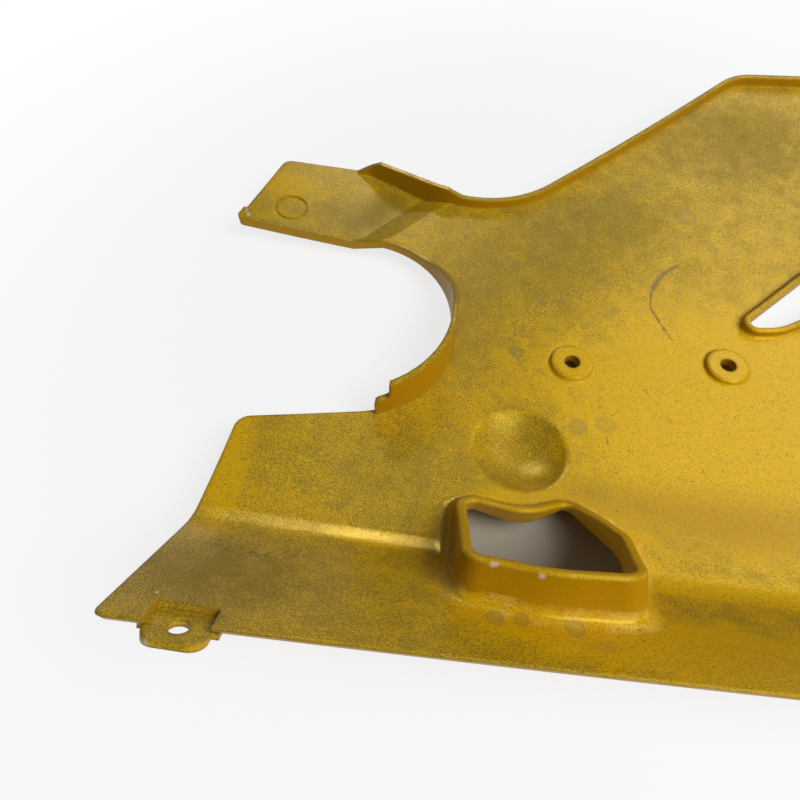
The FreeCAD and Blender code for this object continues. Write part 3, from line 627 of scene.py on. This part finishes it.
class FAIRING_OT_flare_collar(bpy.types.Operator):
    """Round the foot of the duct collar where it runs into the panel"""
    bl_idname = "fairing.flare_collar"
    bl_label = "Flare Collar"

    # plan rays round the centre, edges across the flare, and passes that smooth it along its length
    turns = 180
    rounds = 8
    smoothings = 2
    # spacing of the points felt along a ray, and the height above the panel from which they are felt
    step = 0.2 * MM
    headroom = 10 * MM
    # the foot is where the slope grows by wall_bend within bend_steps, and the wall, which is looked
    # for foot_steps further on, goes on for as long as it climbs by wall_slope
    bend_steps = 5
    foot_steps = 2
    wall_bend = 1.0
    wall_slope = 1.5
    # how deep the flare's borders and its hidden corner lie in the panel
    sink = 0.06 * MM
    bury = 0.6 * MM

    def execute(self, context):
        flare = context.scene.fairing_flare
        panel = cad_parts[PANEL]
        shape = bmesh.new()
        shape.from_mesh(panel.data)
        ground = BVHTree.FromBMesh(shape)
        shape.free()
        sections = [self.section(ground, flare, 2 * math.pi * i / self.turns) for i in range(self.turns)]
        for _ in range(self.smoothings):
            before, after = sections[-1:] + sections[:-1], sections[1:] + sections[:1]
            sections = [
                [(a + 2 * b + c) / 4 for a, b, c in zip(*trio)] for trio in zip(before, sections, after)]
        shape = bmesh.new()
        rings = [self.ring(shape, [section[k] for section in sections]) for k in range(len(sections[0]))]
        for k, edges in enumerate(rings):
            bmesh.ops.bridge_loops(shape, edges=rings[k - 1] + edges)
        bmesh.ops.recalc_face_normals(shape, faces=shape.faces)
        for face in shape.faces:
            face.smooth = True
        # the smooth face ends at its two borders, and the buried corner is sharp
        for edge in rings[0] + rings[self.rounds] + rings[-1]:
            edge.smooth = False
        mesh = bpy.data.meshes.new("collar_flare")
        shape.to_mesh(mesh)
        shape.free()
        piece = bpy.data.objects.new("collar_flare", mesh)
        context.scene.collection.objects.link(piece)
        mesh.materials.append(panel_paint("flare_yellow_paint", context.scene.fairing_paint, False))
        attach(piece, "root")
        return {"FINISHED"}

    def section(self, ground, flare, angle):
        """Outline of the flare across one plan ray: out on the panel, up the wall, and the buried corner."""
        out = Vector((math.cos(angle), math.sin(angle), 0.0))
        above = Vector((*flare.centre, CAD_BOX[1][2] + self.headroom))
        points = []
        distance = flare.start
        while distance > 0:
            hit = ground.ray_cast(above + out * distance, Vector((0.0, 0.0, -1.0)))[0]
            distance -= self.step
            if hit is not None:
                points.append(hit)
            elif points:
                break
        climb = [(b.z - a.z) / self.step for a, b in zip(points, points[1:])]
        bend = [0.0] * self.bend_steps + [b - a for a, b in zip(climb, climb[self.bend_steps:])]
        foot = next((i for i, change in enumerate(bend) if change > self.wall_bend), bend.index(max(bend)))
        wall = foot + self.foot_steps
        while wall < len(climb) and climb[wall] > self.wall_slope:
            wall += 1
        corner = points[foot]
        rise = min(flare.rise, flare.share * (points[min(wall, len(points) - 1)] - corner).length)
        reach = rise * flare.reach / flare.rise
        start = self.along(points[foot::-1], reach) - Vector((0.0, 0.0, self.sink))
        end = self.along(points[foot:], rise) - out * self.sink
        outline = []
        for k in range(self.rounds + 1):
            t = k / self.rounds
            outline.append(start * (1 - t) ** 2 + corner * (2 * t * (1 - t)) + end * t ** 2)
        outline.append(corner - out * self.bury - Vector((0.0, 0.0, self.bury)))
        return outline

    def along(self, points, length):
        """The point that lies a length along a line of points."""
        for a, b in zip(points, points[1:]):
            piece = (b - a).length
            if piece >= length:
                return a.lerp(b, length / piece)
            length -= piece
        return points[-1]

    def ring(self, shape, points):
        """Edges of a closed loop through the points."""
        verts = [shape.verts.new(point) for point in points]
        return [shape.edges.new((verts[i - 1], vert)) for i, vert in enumerate(verts)]


class FAIRING_OT_stage(bpy.types.Operator):
    """Lay the floor, hang the lamps and set up the camera"""
    bl_idname = "fairing.stage"
    bl_label = "Set Stage"

    def execute(self, context):
        stage = context.scene.fairing_stage
        self.lay_floor(context, stage)
        self.light_world(context, stage)
        self.hang_lamps(context)
        self.place_camera(context, stage)
        context.scene.view_settings.view_transform = "Standard"
        return {"FINISHED"}

    def lay_floor(self, context, stage):
        mesh = bpy.data.meshes.new("floor")
        shape = bmesh.new()
        bmesh.ops.create_grid(shape, x_segments=2, y_segments=2, size=stage.floor_half)
        level = CAD_BOX[0][2] - stage.floor_gap
        bmesh.ops.translate(shape, vec=(0.0, 0.0, level), verts=shape.verts)
        shape.to_mesh(mesh)
        shape.free()
        floor = bpy.data.objects.new("floor", mesh)
        context.scene.collection.objects.link(floor)
        mesh.materials.append(floor_material(stage.floor, stage.bench))

    def light_world(self, context, stage):
        world = bpy.data.worlds.new("studio")
        context.scene.world = world
        world.use_nodes = True
        nodes = Nodes(world.node_tree)
        world.node_tree.nodes.clear()
        soft = nodes.add("ShaderNodeBackground", {"Color": WHITE, "Strength": stage.fill})
        white = nodes.add("ShaderNodeBackground", {"Color": WHITE, "Strength": 1.0})
        seen = nodes.add("ShaderNodeLightPath").outputs["Is Camera Ray"]
        share = nodes.add("ShaderNodeMixShader", {"Fac": seen})
        world.node_tree.links.new(soft.outputs[0], share.inputs[1])
        world.node_tree.links.new(white.outputs[0], share.inputs[2])
        output = nodes.add("ShaderNodeOutputWorld")
        world.node_tree.links.new(share.outputs[0], output.inputs["Surface"])

    def hang_lamps(self, context):
        for name, at, aim, width, depth, power, diffuse in LAMPS:
            lamp = bpy.data.lights.new(name, "AREA")
            lamp.shape = "RECTANGLE"
            lamp.size = width
            lamp.size_y = depth
            lamp.energy = power
            item = bpy.data.objects.new(name, lamp)
            item.visible_diffuse = diffuse
            item.location = at
            item.rotation_euler = (Vector(aim) - Vector(at)).to_track_quat("-Z", "Y").to_euler()
            context.scene.collection.objects.link(item)

    def place_camera(self, context, stage):
        camera = bpy.data.cameras.new("camera")
        camera.sensor_width = 36.0
        camera.sensor_fit = "HORIZONTAL"
        camera.lens = stage.lens
        camera.clip_start = 0.01
        item = bpy.data.objects.new("camera", camera)
        turn = Matrix.Rotation(stage.camera_turn, 4, "Z") @ Matrix.Rotation(stage.camera_tilt, 4, "X")
        item.matrix_world = Matrix.Translation(stage.camera_at) @ turn
        context.scene.collection.objects.link(item)
        context.scene.camera = item


class FAIRING_PT_sidebar(bpy.types.Panel):
    bl_idname = "FAIRING_PT_sidebar"
    bl_label = "Side Fairing Panel"
    bl_space_type = "VIEW_3D"
    bl_region_type = "UI"
    bl_category = "Fairing"

    def draw(self, context):
        for settings, operator in (
            (context.scene.fairing_paint, FAIRING_OT_paint_panel),
            (context.scene.fairing_flare, FAIRING_OT_flare_collar),
            (context.scene.fairing_stage, FAIRING_OT_stage),
        ):
            box = self.layout.box()
            for name in settings.bl_rna.properties.keys():
                if name not in {"rna_type", "name"}:
                    box.prop(settings, name)
            box.operator(operator.bl_idname)


CLASSES = (
    FairingPaint, FairingFlare, FairingStage,
    FAIRING_OT_paint_panel, FAIRING_OT_flare_collar, FAIRING_OT_stage, FAIRING_PT_sidebar)


def register():
    for item in CLASSES:
        bpy.utils.register_class(item)
    bpy.types.Scene.fairing_paint = bpy.props.PointerProperty(type=FairingPaint)
    bpy.types.Scene.fairing_flare = bpy.props.PointerProperty(type=FairingFlare)
    bpy.types.Scene.fairing_stage = bpy.props.PointerProperty(type=FairingStage)


def unregister():
    del bpy.types.Scene.fairing_stage
    del bpy.types.Scene.fairing_flare
    del bpy.types.Scene.fairing_paint
    for item in reversed(CLASSES):
        bpy.utils.unregister_class(item)


def main():
    register()
    bpy.ops.fairing.paint_panel()
    bpy.ops.fairing.flare_collar()
    bpy.ops.fairing.stage()


if __name__ == "__main__":
    main()
